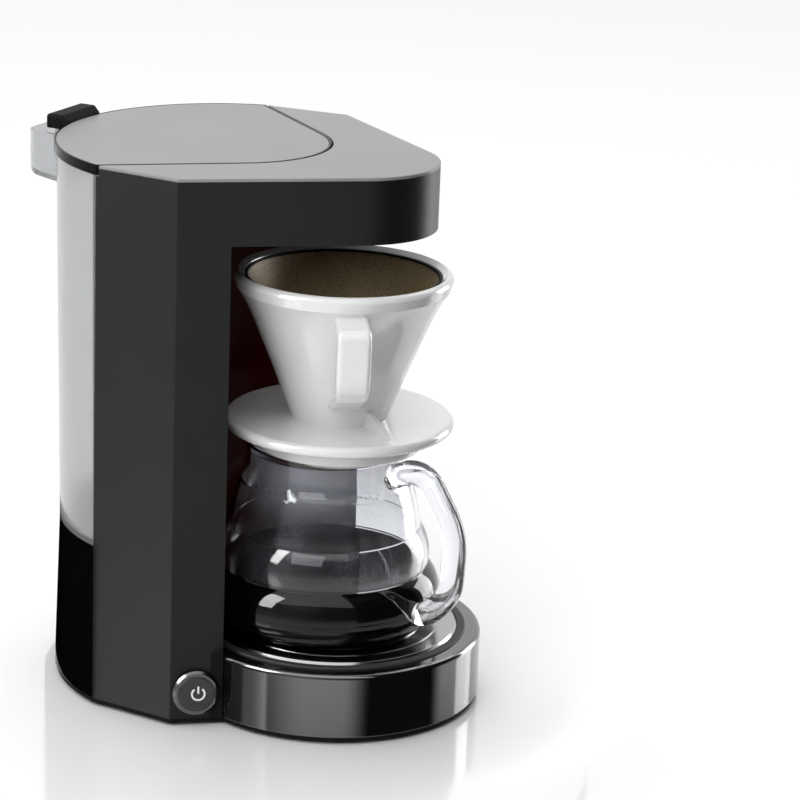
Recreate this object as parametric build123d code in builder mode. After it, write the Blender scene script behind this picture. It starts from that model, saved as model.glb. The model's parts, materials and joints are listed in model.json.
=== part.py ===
"""Automatic tea maker with a lift-off water tank, a ceramic dripper and a glass server.

Millimetres, +Z up, +X towards the round nose of the head, and Z = 0 on the counter.
Plans are drawn about the brew axis, the upright line that the hot plate, the server,
the dripper and the spray head share. The origin lies under the middle of the box that
holds the whole machine, so the brew axis stands at brew_x on +X.
"""

from build123d import *
from math import cos, radians, sin, sqrt, tan
import os

os.makedirs("parts", exist_ok=True)

# ---------------------------------------------------------------- driving dimensions
# Overall
height = 290.0  # counter to the top of the head
half_width = 91.6  # column corners, from the middle plane
tank_face_x = -95.2  # upright joint between column and tank
side_taper = 3.4  # how much narrower the machine is at that joint, each side
rear_x = -156.5  # back of tank and rear housing
facet_angle = 36.3  # slope of the two front facets to the middle plane
nose_reach = 48.0  # tip of the head in front of the brew axis
nose_radius = 44.0
head_depth = 34.4  # side height of the head
corner_radius = 1.5  # column corners

# Mouldings
wall = 2.5
skin = 1.6  # top plate and lid panel
skin_edge = 0.6
seam = 0.2  # visible joint between two mouldings
slip = 0.1  # small clearance between pieces that are put together
overcut = 1.0  # how far a cut runs past the face that it opens
foot_height = 1.5
pan_thickness = 2.5
pan_inset = 0.8
rear_height = 87.5  # lower rear housing
rear_flare = 2.4  # how far tank and rear housing narrow towards their joint
head_floor_sheet = 2.0
hose_window_half = 62.0  # opening between column and rear housing
hose_window_low = 8.0
hose_window_high = 78.0

# Cord bushing
gland_z = 20.0
gland_radius = 5.5
gland_bore = 3.3
gland_lip = 2.0
gland_gap = 0.3
gland_length = 7.0

# Lid and its bar
lid_overhang = 1.8  # lid over the back of the tank
lid_angle = 38.4
lid_nose_radius = 52.0
lid_depth = 5.1
lid_gap = 1.2
lid_rim = 1.0  # black edge that shows round the lid panel
lid_edge = 0.4
lid_rib = 1.6
lid_rib_height = 2.0
lid_rib_pitch = 30.0
lid_rib_count = 4
lid_rib_x = -88.0
lid_rib_root = 0.5
recess_drop = 0.7  # tray floor under the lid's skirt
hinge_setback = 5.6  # pin behind the lid's rear edge
hinge_drop = 1.5  # pin under the top of the lid
pin_radius = 1.5
pin_length = 29.0
pin_fit = 0.05
ear_radius = 3.0
ear_thickness = 2.6
ear_y = 10.5
ear_gap = 0.3
swing_gap = 1.1  # room round the ears while the lid turns
tab_half = 17.0
tab_rear_reach = 5.5  # bar behind the pin
tab_overlap = 1.3  # bar over the lid's edge
tab_rise = 4.3  # bar over the top of the lid
tab_step = 1.4
tab_slope = 2.6
tab_round = 2.0
tab_end = 1.6
tab_clear = 0.5  # bar over the grip

# Tank
tank_wall = 2.2
tank_floor = 2.5
tank_gap = 0.4
grip_reach = 18.7  # grip behind the lid's rear edge
grip_half = 28.5
grip_rear_half = 25.5
grip_corner = 9.0
grip_drop = 3.6
grip_height = 26.4
grip_slope = 4.0
grip_toe = 10.0
grip_wall = 2.0
grip_open = 5.0
grip_root = 12.0  # how far the grip reaches into the tank's wall before it is trimmed
ear_rise = 10.0  # foot of the hinge ears over the grip's underside

# Outlet valve of the tank and its socket
valve_forward = 0.85  # valve in front of the middle of the tank
spout_radius = 11.4
spout_wall = 2.0
spout_drop = 11.2
seal_width = 1.5
seal_height = 3.0
seal_rise = 2.0
seal_clearance = 0.1
socket_wall = 1.4
socket_depth = 15.5
socket_floor_sheet = 2.0
socket_flange = 5.5
socket_flange_sheet = 2.5
spider_width = 1.6
pin_post_radius = 1.6
post_below_seat = 1.0
seat_height = 3.0
seat_radius = 4.6
poppet_radius = 6.2
poppet_sheet = 1.4
poppet_stem = 1.4
poppet_lift = 2.0
poppet_tail = 2.0  # stem over the cage
poppet_gap = 0.05
cage_fit = 0.05
cage_wall = 1.5
cage_height = 18.5
cage_bar = 1.5
cage_window = 2.4
cage_vent_inset = 2.0
cage_vents = 4
cage_window_turn = 45.0
window_floor = 0.6
stem_hole = 2.0
spring_radius = 4.0
spring_wire = 0.4
spring_turns = 3
spring_gap = 0.05

# Round base
base_radius = 78.8
base_drop = 2.0  # top of the base under the hot plate
base_fillet = 2.5
base_boss_setback = 5.3
base_boss_count = 3
bay_gap = 0.6
bay_thickness = 2.2
plate_setback = 12.4
plate_top = 40.0
plate_sheet = 1.5
plate_skirt = 5.2
plate_bevel = 1.4
groove_width = 1.0
groove_depth = 0.4
groove_radii = (56.0, 47.0)
gasket_width = 2.4
gasket_lip = 1.7
gasket_depth = 3.3
gasket_bead = 1.0
vent_length = 44.0
vent_width = 3.0
vent_pitch = 8.0
vent_count = 5

# Heater and hoses
heater_depth = 16.5
heater_inner = 29.0
heater_outer = 51.0
heater_leg = 34.0
heater_edge = 2.0
water_tube_y = 44.5
water_tube_radius = 4.5
water_tube_bore = 3.5
water_tube_leg = 58.0
element_y = 34.5
element_radius = 3.4
element_leg = 44.0
cast_fit = 0.02  # tube and element in the casting
blade_width = 4.8  # push-on terminals
blade_sheet = 0.8
blade_length = 7.0
tube_drop = 12.0  # tubes under the plate's top
hose_wall = 2.0
hose_fit = 0.05
hose_overlap = 12.0
hose_bend = 14.0
hose_room = 0.6
riser_gap = 13.2  # riser in front of the tank's joint
riser_rise = 14.4  # hose over the head's underside
bracket_width = 14.0
bracket_sheet = 1.5
thermostat_radius = 8.0
thermostat_body = 6.0
thermostat_neck_radius = 6.0
thermostat_neck = 3.0
thermostat_pins = 3.5
fuse_radius = 2.0
fuse_length = 14.0
fuse_angle = 50.0
barb_length = 12.0
barb_bare = 2.0  # left bare over the hose
inlet_behind = 16.8  # bend of the inlet hose behind the tank's joint

# Spray head
spray_radius = 15.6
spray_drop = 4.6
spray_sheet = 1.6
spray_wall = 2.0
spray_flange = 3.5
spray_hole = 1.5
spray_ring = 7.5
spray_holes = 6
spray_inlet = 4.6
spray_inlet_wall = 1.6
spray_inlet_rise = 5.0
elbow_fit = 0.1
elbow_bore = 3.0
elbow_cap = 6.0
elbow_reach = 30.0
elbow_seat = 0.5

# Push button on the near facet
button_from_corner = 13.3
button_z = 19.0
bezel_radius = 12.2
bezel_height = 3.4
bezel_bevel = 1.2
bezel_barrel = 8.4
bezel_barrel_wall = 1.6
bezel_barrel_depth = 4.0
bezel_floor = 0.8
cap_radius = 9.3
cap_thickness = 1.5
cap_proud = 0.3
cap_edge = 0.4
cap_travel = 1.3
stem_radius = 3.2
stem_end = 6.0
plunger_radius = 1.6
plunger_depth = 1.5
plunger_fit = 0.05
switch_gap = 0.2
switch_width = 7.0
switch_depth = 4.0
board_width = 14.0
board_height = 26.0
board_thickness = 1.0
board_shift = 3.8  # the board stands off centre, away from the bay wall

# Server
glass = 2.0
server_x = -6.5  # it stands a little back on the hot plate
server_height = 97.8
server_lip = 0.8
server_foot = 50.0  # radii of the glass, from the foot up
foot_turn = 58.8
first_bulge = 62.2
first_crease = 55.3
second_bulge = 55.9
second_crease = 51.0
third_bulge = 50.2
shoulder = 45.4
server_mouth = 42.0
foot_turn_rise = 4.7  # heights of those radii over the foot
first_bulge_rise = 16.5
first_crease_rise = 32.0
second_bulge_rise = 39.5
second_crease_rise = 52.5
third_bulge_rise = 58.0
shoulder_rise = 77.0
neck_rise = 87.0
handle_angle = -9.0
handle_reach = 82.6  # centreline of the handle from the server's own axis
handle_radius = 6.4
handle_root = 4.0  # how far the handle's ends reach into the glass before they are trimmed
handle_root_rise = 84.5
handle_crown = 19.5  # top corner of the handle, outside the mouth
handle_crown_rise = 95.5
handle_upper_out = 0.5  # the upright part leans out at its top
handle_upper_rise = 64.0
handle_lower_in = 0.9
handle_lower_rise = 31.0
handle_foot = 4.0  # lower corner of the handle, outside the widest bulge
handle_foot_rise = 15.5
handle_end = 15.0
handle_end_rise = 14.5
handle_bends = (13, 36, 24, 14)

# Dripper
saucer_radius = 60.0
saucer_thickness = 6.0
foot_rise = 9.5  # saucer over the rim of the glass
foot_ring_over = 2.2  # foot ring outside the glass
foot_groove = 3.0
foot_ring_edge = 1.5
collar_room = 12.0  # collar inside the mouth of the glass
collar_depth = 5.0
ceramic = 3.0
dripper_rim = 57.0
dripper_edge = 5.7  # width of the rim
dripper_height = 83.4  # underside of the saucer to the rim
dripper_lip = 3.0
lip_fall = 2.0
dripper_hole = 9.0
cup_floor_sheet = 1.0
cup_well = 4.0
cone_base = 17.0  # inside, at the lower end of the cone
cone_foot = 25.5  # radii outside, from the saucer up
cone_waist = 33.4
cone_shoulder = 44.4
cone_flare = 49.0
cone_waist_rise = 20.5  # over the saucer
cone_shoulder_drop = 29.9  # under the rim
cone_flare_drop = 19.4
rim_band = 7.9
rim_inset = 1.2
rib_angle = -31.0
rib_reach = 54.0
rib_top = 27.0
rib_height = 10.0
rib_thickness = 2.6
strap_angle = -58.0
strap_width = 17.6
strap_thickness = 6.0
strap_edge = 2.8
strap_reach = 68.5
strap_root = 42.0
strap_root_drop = 10.4
strap_crown_drop = 16.4
strap_taper = 3.5
strap_elbow_rise = 30.0
strap_foot = 26.0
strap_foot_rise = 13.0
strap_bends = (5, 16)
filter_clearance = 0.4
filter_sheet = 0.8
filter_rise = 8.0  # filter's floor over the cup's
filter_drop = 0.2  # filter's rim under the mouth
filter_rim_height = 1.0
filter_rim_width = 1.2

# Fasteners and feet
screw_radius = 1.45
screw_head = 3.2
screw_length = 12.0
countersink = 45.0
boss_radius = 4.0
boss_bore = 1.5
boss_height = 30.0
column_boss_ahead = 15.2  # in front of the tank's joint
column_boss_inside = 7.6
rear_boss_ahead = 26.5
rear_boss_y = 40.0
foot_radius = 7.0
foot_plug = 3.5
rear_foot_ahead = 18.5
rear_foot_y = 32.0
side_foot_behind = 15.6  # behind the column corners
side_foot_inside = 13.6
front_foot = 44.0

# ---------------------------------------------------------------- derived places
tank_half = half_width - side_taper
lid_rear_x = rear_x - lid_overhang
hinge_x = lid_rear_x - hinge_setback
hinge_z = height - hinge_drop
tab_rear_x = hinge_x - tab_rear_reach
tab_front_x = lid_rear_x + tab_overlap
tab_top = height + tab_rise
grip_rear_x = lid_rear_x - grip_reach
grip_top = height - grip_drop
grip_bottom = grip_top - grip_height
ear_low = grip_bottom + ear_rise
ear_root = rear_x + overcut - hinge_x
valve_x = (rear_x + tank_face_x) / 2 + valve_forward
inlet_x = tank_face_x - inlet_behind

front_reach = server_x + handle_reach * cos(radians(handle_angle)) + handle_radius
brew_x = -(front_reach + grip_rear_x) / 2
counter = Plane((brew_x, 0, 0))
upright = Plane((brew_x, 0, 0), x_dir=(1, 0, 0), z_dir=(0, -1, 0))
brew_axis = Axis((brew_x, 0, 0), (0, 0, 1))
server_upright = Plane((brew_x + server_x, 0, 0), x_dir=(1, 0, 0), z_dir=(0, -1, 0))
server_axis = Axis((brew_x + server_x, 0, 0), (0, 0, 1))
valve_upright = Plane((brew_x + valve_x, 0, 0), x_dir=(1, 0, 0), z_dir=(0, -1, 0))
valve_axis = Axis((brew_x + valve_x, 0, 0), (0, 0, 1))

pan_top = foot_height + pan_thickness
shell_top = height - skin
head_underside = height - head_depth
lid_bottom = height - lid_depth
tank_top = lid_bottom - seam
tank_bottom = rear_height + seam
recess_floor = lid_bottom - recess_drop
bay_radius = base_radius + bay_gap
facet_slope = tan(radians(facet_angle))
nose_apex = nose_reach + nose_radius * (1 / sin(radians(facet_angle)) - 1)
corner_x = nose_apex - half_width / facet_slope
lid_apex = tank_face_x + tank_half / tan(radians(lid_angle))
base_top = plate_top - base_drop
base_boss_ring = base_radius - base_boss_setback
plate_radius = base_radius - plate_setback
tube_z = plate_top - tube_drop
server_base = plate_top + slip
server_top = server_base + server_height
foot_base = server_top + slip
saucer_base = foot_base + foot_rise
collar_radius = server_mouth - collar_room
riser_x = tank_face_x + riser_gap
riser_z = head_underside + riser_rise
hose_bore = water_tube_radius + hose_fit
hose_radius = hose_bore + hose_wall
hose_pass = hose_radius + hose_room
column_boss_x = tank_face_x + column_boss_ahead
column_boss_y = half_width - column_boss_inside
rear_boss_x = rear_x + rear_boss_ahead
rear_foot_x = rear_x + rear_foot_ahead
side_foot_x = corner_x - side_foot_behind
side_foot_y = half_width - side_foot_inside

button_along = Vector(cos(radians(facet_angle)), sin(radians(facet_angle)), 0)
button_out = Vector(sin(radians(facet_angle)), -cos(radians(facet_angle)), 0)
button_centre = Vector(brew_x + corner_x, -half_width, button_z) + button_along * button_from_corner
button_plane = Plane(button_centre, x_dir=button_along, z_dir=button_out)
button_axis = Axis(button_centre, button_out)
button_upright = Plane(button_centre, x_dir=button_along, z_dir=(0, 0, 1))


# ---------------------------------------------------------------- shared outlines
def polygon(plane, points):
    """A closed straight-sided face on a plane."""
    with BuildSketch(plane) as face:
        with BuildLine():
            Polyline(*points, close=True)
        make_face()
    return face.sketch


def column_plan(inset=0.0):
    """Plan of column and head: straight back, two facets and a round nose."""
    with BuildSketch() as plan:
        with BuildLine():
            Polyline(
                (tank_face_x, tank_half),
                (corner_x, half_width),
                (nose_apex, 0),
                (corner_x, -half_width),
                (tank_face_x, -tank_half),
                close=True,
            )
        make_face()
        by_x = plan.vertices().sort_by(Axis.X)
        fillet(by_x[-1], nose_radius)
        corners = plan.vertices().filter_by(lambda v: abs(abs(v.Y) - half_width) < 0.01)
        fillet(corners, corner_radius)
        if inset:
            offset(amount=-inset, kind=Kind.INTERSECTION)
    return plan.sketch


def rear_plan(face_x, narrower=0.0, inset=0.0):
    """Plan of tank and rear housing: flat front and one round back."""
    with BuildSketch() as plan:
        with BuildLine():
            half = tank_half - narrower
            ThreePointArc((face_x, half), (rear_x + narrower, 0), (face_x, -half))
            Line((face_x, -half), (face_x, half))
        make_face()
        if inset:
            offset(amount=-inset, kind=Kind.INTERSECTION)
    return plan.sketch


def lid_plan(outset=0.0):
    """Plan of the lid: the round back of the tank and a blunt wedge over the head."""
    with BuildSketch() as plan:
        with BuildLine():
            ThreePointArc((tank_face_x, tank_half), (lid_rear_x, 0), (tank_face_x, -tank_half))
            Polyline((tank_face_x, -tank_half), (lid_apex, 0), (tank_face_x, tank_half))
        make_face()
        fillet(plan.vertices().sort_by(Axis.X)[-1], lid_nose_radius)
        if outset:
            offset(amount=outset, kind=Kind.INTERSECTION)
    return plan.sketch


def u_run(y, leg):
    """Centreline of a U-shaped tube under the hot plate, open to the rear."""
    with BuildLine(counter.offset(tube_z)) as run:
        Line((-leg, -y), (0, -y))
        ThreePointArc((0, -y), (y, 0), (0, y))
        Line((0, y), (-leg, y))
    return run.line


def tube(path, radius, bore=0.0):
    """A round bar or tube along a path."""
    with BuildPart() as bar:
        with BuildSketch(Plane(path @ 0, z_dir=path % 0)):
            Circle(radius)
        sweep(path=path)
        if bore:
            with BuildSketch(Plane(path @ 0, z_dir=path % 0)):
                Circle(bore)
            sweep(path=path, mode=Mode.SUBTRACT)
    return bar.part


def turned(x, angle):
    """Upright plane through the upright line at x, turned to an angle about it."""
    way = radians(angle)
    return Plane((brew_x + x, 0, 0), x_dir=(cos(way), sin(way), 0), z_dir=(sin(way), -cos(way), 0))


# ---------------------------------------------------------------- column and head
window_middle = (hose_window_low + hose_window_high) / 2
window_height = hose_window_high - hose_window_low

with BuildPart() as column_hollow:
    with BuildSketch(counter.offset(pan_top)):
        add(column_plan(wall))
    extrude(amount=shell_top - wall - pan_top)
    with BuildSketch(counter.offset(recess_floor - wall)):
        add(lid_plan(lid_gap + wall))
    extrude(amount=lid_depth + wall, mode=Mode.SUBTRACT)

with BuildPart() as front_shell:
    with BuildSketch(counter.offset(pan_top)):
        add(column_plan())
    extrude(amount=shell_top - pan_top)
    add(column_hollow.part, mode=Mode.SUBTRACT)
    with BuildSketch(counter.offset(recess_floor)):
        add(lid_plan(lid_gap))
    extrude(amount=lid_depth + wall, mode=Mode.SUBTRACT)
    with BuildSketch(counter.offset(pan_top)):
        Circle(bay_radius)
    extrude(amount=head_underside - pan_top, mode=Mode.SUBTRACT)
    with BuildSketch(Plane((brew_x + tank_face_x, 0, 0), x_dir=(0, 1, 0), z_dir=(1, 0, 0))):
        with Locations((0, window_middle)):
            Rectangle(2 * hose_window_half, window_height)
    extrude(amount=wall + overcut, mode=Mode.SUBTRACT)
    with BuildSketch(button_plane):
        Circle(bezel_barrel + slip)
    extrude(amount=-wall - overcut, mode=Mode.SUBTRACT)
    for side in (-1, 1):
        with BuildSketch(counter.offset(pan_top)):
            with Locations((column_boss_x, side * column_boss_y)):
                Circle(boss_radius)
                Circle(boss_bore, mode=Mode.SUBTRACT)
        extrude(amount=boss_height)
front_shell.part.label = "front_shell"
export_step(front_shell.part, "parts/front_shell.step")

with BuildPart() as top_plate:
    with BuildSketch(counter.offset(shell_top)):
        add(column_plan())
    extrude(amount=skin)
    rim = top_plate.faces().sort_by(Axis.Z)[-1].edges()
    fillet(rim.filter_by(lambda e: e.center().X > brew_x + tank_face_x + wall), skin_edge)
    with BuildSketch(counter.offset(shell_top)):
        add(lid_plan(lid_gap))
    extrude(amount=skin, mode=Mode.SUBTRACT)
top_plate.part.label = "top_plate"
export_step(top_plate.part, "parts/top_plate.step")

panel_low = pan_top + seam
panel_high = head_underside - seam
with BuildPart() as bay_panel:
    with BuildSketch(counter.offset(panel_low)):
        add(column_plan(wall + slip))
        Circle(bay_radius + bay_thickness, mode=Mode.INTERSECT)
        Circle(bay_radius, mode=Mode.SUBTRACT)
    extrude(amount=panel_high - panel_low)
    for side in (-1, 1):
        with BuildSketch(Plane((brew_x, side * water_tube_y, tube_z), z_dir=(-1, 0, 0))):
            Circle(hose_pass)
        extrude(amount=bay_radius + bay_thickness, mode=Mode.SUBTRACT)
bay_panel.part.label = "bay_panel"
export_step(bay_panel.part, "parts/bay_panel.step")

with BuildPart() as head_floor:
    with BuildSketch(counter.offset(head_underside)):
        add(column_plan(wall + slip))
        Circle(bay_radius + bay_thickness - slip, mode=Mode.INTERSECT)
        Circle(spray_radius + slip, mode=Mode.SUBTRACT)
    extrude(amount=head_floor_sheet)
head_floor.part.label = "head_floor"
export_step(head_floor.part, "parts/head_floor.step")

# ---------------------------------------------------------------- rear housing and pan
rear_face_x = tank_face_x - seam
rear_wall_x = rear_x + rear_flare * (gland_z - pan_top) / (rear_height - pan_top)
deck_hole = spout_radius + seal_width + seal_clearance + socket_wall + seam

with BuildPart() as rear_shell:
    with BuildSketch(counter.offset(pan_top)):
        add(rear_plan(rear_face_x))
    with BuildSketch(counter.offset(rear_height)):
        add(rear_plan(rear_face_x, rear_flare))
    loft()
    with BuildSketch(counter.offset(pan_top)):
        add(rear_plan(rear_face_x, 0.0, wall))
    with BuildSketch(counter.offset(rear_height - wall)):
        add(rear_plan(rear_face_x, rear_flare, wall))
    loft(mode=Mode.SUBTRACT)
    with BuildSketch(Plane((brew_x + rear_face_x, 0, 0), x_dir=(0, 1, 0), z_dir=(1, 0, 0))):
        with Locations((0, window_middle)):
            Rectangle(2 * hose_window_half, window_height)
    extrude(amount=-wall - overcut, mode=Mode.SUBTRACT)
    with BuildSketch(counter.offset(rear_height - wall)):
        with Locations((valve_x, 0)):
            Circle(deck_hole)
    extrude(amount=wall, mode=Mode.SUBTRACT)
    with BuildSketch(Plane((brew_x + rear_x - overcut, 0, gland_z), z_dir=(1, 0, 0))):
        Circle(gland_radius + slip)
    extrude(amount=wall + rear_flare + 2 * overcut, mode=Mode.SUBTRACT)
    for side in (-1, 1):
        with BuildSketch(counter.offset(pan_top)):
            with Locations((rear_boss_x, side * rear_boss_y)):
                Circle(boss_radius)
        extrude(amount=rear_height - wall - pan_top)
        with BuildSketch(counter.offset(pan_top)):
            with Locations((rear_boss_x, side * rear_boss_y)):
                Circle(boss_bore)
        extrude(amount=screw_length, mode=Mode.SUBTRACT)
rear_shell.part.label = "rear_shell"
export_step(rear_shell.part, "parts/rear_shell.step")

gland_upright = Plane((brew_x + rear_wall_x, 0, gland_z), x_dir=(1, 0, 0), z_dir=(0, -1, 0))
with BuildPart() as cord_gland:
    gland_section = polygon(
        gland_upright,
        [
            (-gland_gap, gland_bore),
            (-gland_gap, gland_radius + gland_lip),
            (-gland_gap - gland_lip, gland_radius + gland_lip / 2),
            (-gland_gap - gland_lip, gland_bore),
        ],
    )
    revolve(gland_section, axis=Axis(gland_upright.origin, (1, 0, 0)))
    neck = polygon(
        gland_upright,
        [
            (-gland_gap, gland_bore),
            (gland_length, gland_bore),
            (gland_length, gland_radius),
            (-gland_gap, gland_radius),
        ],
    )
    revolve(neck, axis=Axis(gland_upright.origin, (1, 0, 0)))
cord_gland.part.label = "cord_gland"
export_step(cord_gland.part, "parts/cord_gland.step")

base_turns = [radians(360 / base_boss_count * i) for i in range(base_boss_count)]
screw_places = [(rear_boss_x, s * rear_boss_y) for s in (-1, 1)]
screw_places += [(column_boss_x, s * column_boss_y) for s in (-1, 1)]
screw_places += [(base_boss_ring * cos(a), base_boss_ring * sin(a)) for a in base_turns]
foot_places = [(rear_foot_x, s * rear_foot_y) for s in (-1, 1)]
foot_places += [(side_foot_x, s * side_foot_y) for s in (-1, 1)]
foot_places += [(front_foot, s * front_foot) for s in (-1, 1)]

with BuildPart() as bottom_pan:
    with BuildSketch(counter.offset(foot_height)):
        add(column_plan(pan_inset))
        add(rear_plan(tank_face_x, 0.0, pan_inset))
        with Locations((tank_face_x, 0)):
            Rectangle(4 * pan_inset, 2 * (tank_half - pan_inset))
        Circle(base_radius - pan_inset)
        with Locations(*foot_places):
            Circle(foot_plug, mode=Mode.SUBTRACT)
        with Locations(*screw_places):
            Circle(screw_radius + slip, mode=Mode.SUBTRACT)
        with GridLocations(0, vent_pitch, 1, vent_count):
            SlotOverall(vent_length, vent_width, mode=Mode.SUBTRACT)
    extrude(amount=pan_thickness)
    for place in screw_places:
        with BuildSketch(counter.offset(foot_height)):
            with Locations(place):
                Circle(screw_head + slip)
        extrude(amount=screw_head - screw_radius, taper=countersink, mode=Mode.SUBTRACT)
bottom_pan.part.label = "bottom_pan"
export_step(bottom_pan.part, "parts/bottom_pan.step")

with BuildPart() as pan_screws:
    for place in screw_places:
        with BuildSketch(counter.offset(foot_height)):
            with Locations(place):
                Circle(screw_head)
        extrude(amount=screw_head - screw_radius, taper=countersink)
        with BuildSketch(counter.offset(foot_height)):
            with Locations(place):
                Circle(screw_radius)
        extrude(amount=screw_length)
pan_screws.part.label = "pan_screws"
export_step(pan_screws.part, "parts/pan_screws.step")

with BuildPart() as rubber_feet:
    for place in foot_places:
        with BuildSketch(counter):
            with Locations(place):
                Circle(foot_radius)
        extrude(amount=foot_height)
        with BuildSketch(counter.offset(foot_height)):
            with Locations(place):
                Circle(foot_plug - slip)
        extrude(amount=pan_thickness)
rubber_feet.part.label = "rubber_feet"
export_step(rubber_feet.part, "parts/rubber_feet.step")

# ---------------------------------------------------------------- round base
gasket_inner = plate_radius + slip
gasket_outer = gasket_inner + gasket_width
opening = gasket_outer + slip
plate_underside = plate_top - plate_sheet
bracket_z = plate_underside - heater_depth

with BuildPart() as base_housing:
    with BuildSketch(upright) as base_section:
        with BuildLine():
            Polyline(
                (base_radius, pan_top),
                (base_radius, base_top),
                (opening, base_top),
                (opening, base_top - wall),
                (base_radius - wall, base_top - wall),
                (base_radius - wall, pan_top),
                close=True,
            )
        make_face()
        fillet(base_section.vertices().group_by(Axis.Y)[-1].sort_by(Axis.X)[-1], base_fillet)
    revolve(axis=brew_axis)
    for side in (-1, 1):
        with BuildSketch(Plane((brew_x, side * water_tube_y, tube_z), z_dir=(-1, 0, 0))):
            Circle(hose_pass)
        extrude(amount=bay_radius, mode=Mode.SUBTRACT)
    with BuildSketch(counter.offset(pan_top)):
        with PolarLocations(base_boss_ring, base_boss_count):
            Circle(boss_radius)
            Circle(boss_bore, mode=Mode.SUBTRACT)
    extrude(amount=base_top - wall - pan_top)
    with BuildSketch(counter.offset(bracket_z)):
        with Locations((0, base_boss_ring), (0, -base_boss_ring)):
            Circle(boss_radius)
    extrude(amount=base_top - wall - bracket_z)
base_housing.part.label = "base_housing"
export_step(base_housing.part, "parts/base_housing.step")

with BuildPart() as hot_plate:
    plate_section = polygon(
        upright,
        [
            (0, plate_top),
            (plate_radius - plate_bevel, plate_top),
            (plate_radius, plate_top - plate_bevel),
            (plate_radius, plate_top - plate_skirt),
            (plate_radius - plate_sheet, plate_top - plate_skirt),
            (plate_radius - plate_sheet, plate_underside),
            (0, plate_underside),
        ],
    )
    revolve(plate_section, axis=brew_axis)
    for groove in groove_radii:
        with BuildSketch(counter.offset(plate_top)):
            Circle(groove + groove_width)
            Circle(groove, mode=Mode.SUBTRACT)
        extrude(amount=-groove_depth, mode=Mode.SUBTRACT)
hot_plate.part.label = "hot_plate"
export_step(hot_plate.part, "parts/hot_plate.step")

with BuildPart() as plate_gasket:
    gasket_section = polygon(
        upright,
        [
            (gasket_inner, base_top - gasket_depth),
            (gasket_outer, base_top - gasket_depth),
            (gasket_outer, base_top),
            (gasket_outer + gasket_lip, base_top),
            (gasket_outer + gasket_lip, base_top + gasket_bead / 2),
            (gasket_outer + gasket_lip - gasket_bead / 2, base_top + gasket_bead),
            (gasket_inner, base_top + gasket_bead),
        ],
    )
    revolve(gasket_section, axis=brew_axis)
plate_gasket.part.label = "plate_gasket"
export_step(plate_gasket.part, "parts/plate_gasket.step")

# ---------------------------------------------------------------- heater under the plate
water_run = u_run(water_tube_y, water_tube_leg)
element_run = u_run(element_y, element_leg)
water_bore = tube(water_run, water_tube_radius)
element_bore = tube(element_run, element_radius)
water_pipe = tube(water_run, water_tube_radius - cast_fit, water_tube_bore)
element_rod = tube(element_run, element_radius - cast_fit)

with BuildPart() as heater_casting:
    with BuildSketch(counter.offset(bracket_z)):
        Circle(heater_outer)
        with Locations((-heater_leg / 2, 0)):
            Rectangle(heater_leg, 2 * heater_outer)
        with Locations((-heater_leg - heater_outer / 2, 0)):
            Rectangle(heater_outer, 2 * heater_outer, mode=Mode.SUBTRACT)
        Circle(heater_inner, mode=Mode.SUBTRACT)
        with Locations((-heater_leg / 2, 0)):
            Rectangle(heater_leg, 2 * heater_inner, mode=Mode.SUBTRACT)
    extrude(amount=heater_depth)
    low_edges = heater_casting.edges().group_by(Axis.Z)[0]
    fillet(low_edges.filter_by(GeomType.CIRCLE), heater_edge)
    add(water_bore, mode=Mode.SUBTRACT)
    add(element_bore, mode=Mode.SUBTRACT)
heater_casting.part.label = "heater_casting"
export_step(heater_casting.part, "parts/heater_casting.step")

with BuildPart() as water_tube:
    add(water_pipe)
water_tube.part.label = "water_tube"
export_step(water_tube.part, "parts/water_tube.step")

with BuildPart() as heating_element:
    add(element_rod)
    for side in (-1, 1):
        with BuildSketch(Plane((brew_x - element_leg, side * element_y, tube_z), z_dir=(-1, 0, 0))):
            Rectangle(blade_sheet, blade_width)
        extrude(amount=blade_length)
heating_element.part.label = "heating_element"
export_step(heating_element.part, "parts/heating_element.step")

with BuildPart() as heater_bracket:
    with BuildSketch(counter.offset(bracket_z)):
        Rectangle(bracket_width, 2 * (base_boss_ring + screw_radius))
        with Locations((0, base_boss_ring), (0, -base_boss_ring)):
            Circle(boss_bore, mode=Mode.SUBTRACT)
    extrude(amount=-bracket_sheet)
heater_bracket.part.label = "heater_bracket"
export_step(heater_bracket.part, "parts/heater_bracket.step")

casting_middle = (heater_inner + heater_outer) / 2
with BuildPart() as thermostat:
    with BuildSketch(counter.offset(bracket_z)):
        with Locations((casting_middle, 0)):
            Circle(thermostat_radius)
    extrude(amount=-thermostat_body)
    with BuildSketch(counter.offset(bracket_z - thermostat_body)):
        with Locations((casting_middle, 0)):
            Circle(thermostat_neck_radius)
    extrude(amount=-thermostat_neck)
    with BuildSketch(counter.offset(bracket_z - thermostat_body - thermostat_neck)):
        with Locations((casting_middle, thermostat_pins), (casting_middle, -thermostat_pins)):
            Rectangle(blade_width, blade_sheet)
    extrude(amount=-blade_length)
thermostat.part.label = "thermostat"
export_step(thermostat.part, "parts/thermostat.step")

with BuildPart() as thermal_fuses:
    for angle in (-fuse_angle, fuse_angle):
        outward = Vector(cos(radians(angle)), sin(radians(angle)), 0)
        along = Vector(-sin(radians(angle)), cos(radians(angle)), 0)
        middle = Vector(brew_x, 0, bracket_z - fuse_radius) + outward * casting_middle
        with BuildSketch(Plane(middle - along * (fuse_length / 2), z_dir=along)):
            Circle(fuse_radius)
        extrude(amount=fuse_length)
thermal_fuses.part.label = "thermal_fuses"
export_step(thermal_fuses.part, "parts/thermal_fuses.step")

# ---------------------------------------------------------------- socket, hoses, spray head
chamber_radius = spout_radius + seal_width + seal_clearance
socket_radius = chamber_radius + socket_wall
socket_floor = rear_height - socket_depth
socket_bottom = socket_floor - socket_floor_sheet
flange_top = rear_height - wall
barb_end = socket_bottom - barb_length
post_top = tank_bottom - spout_drop + seat_height - post_below_seat

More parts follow.
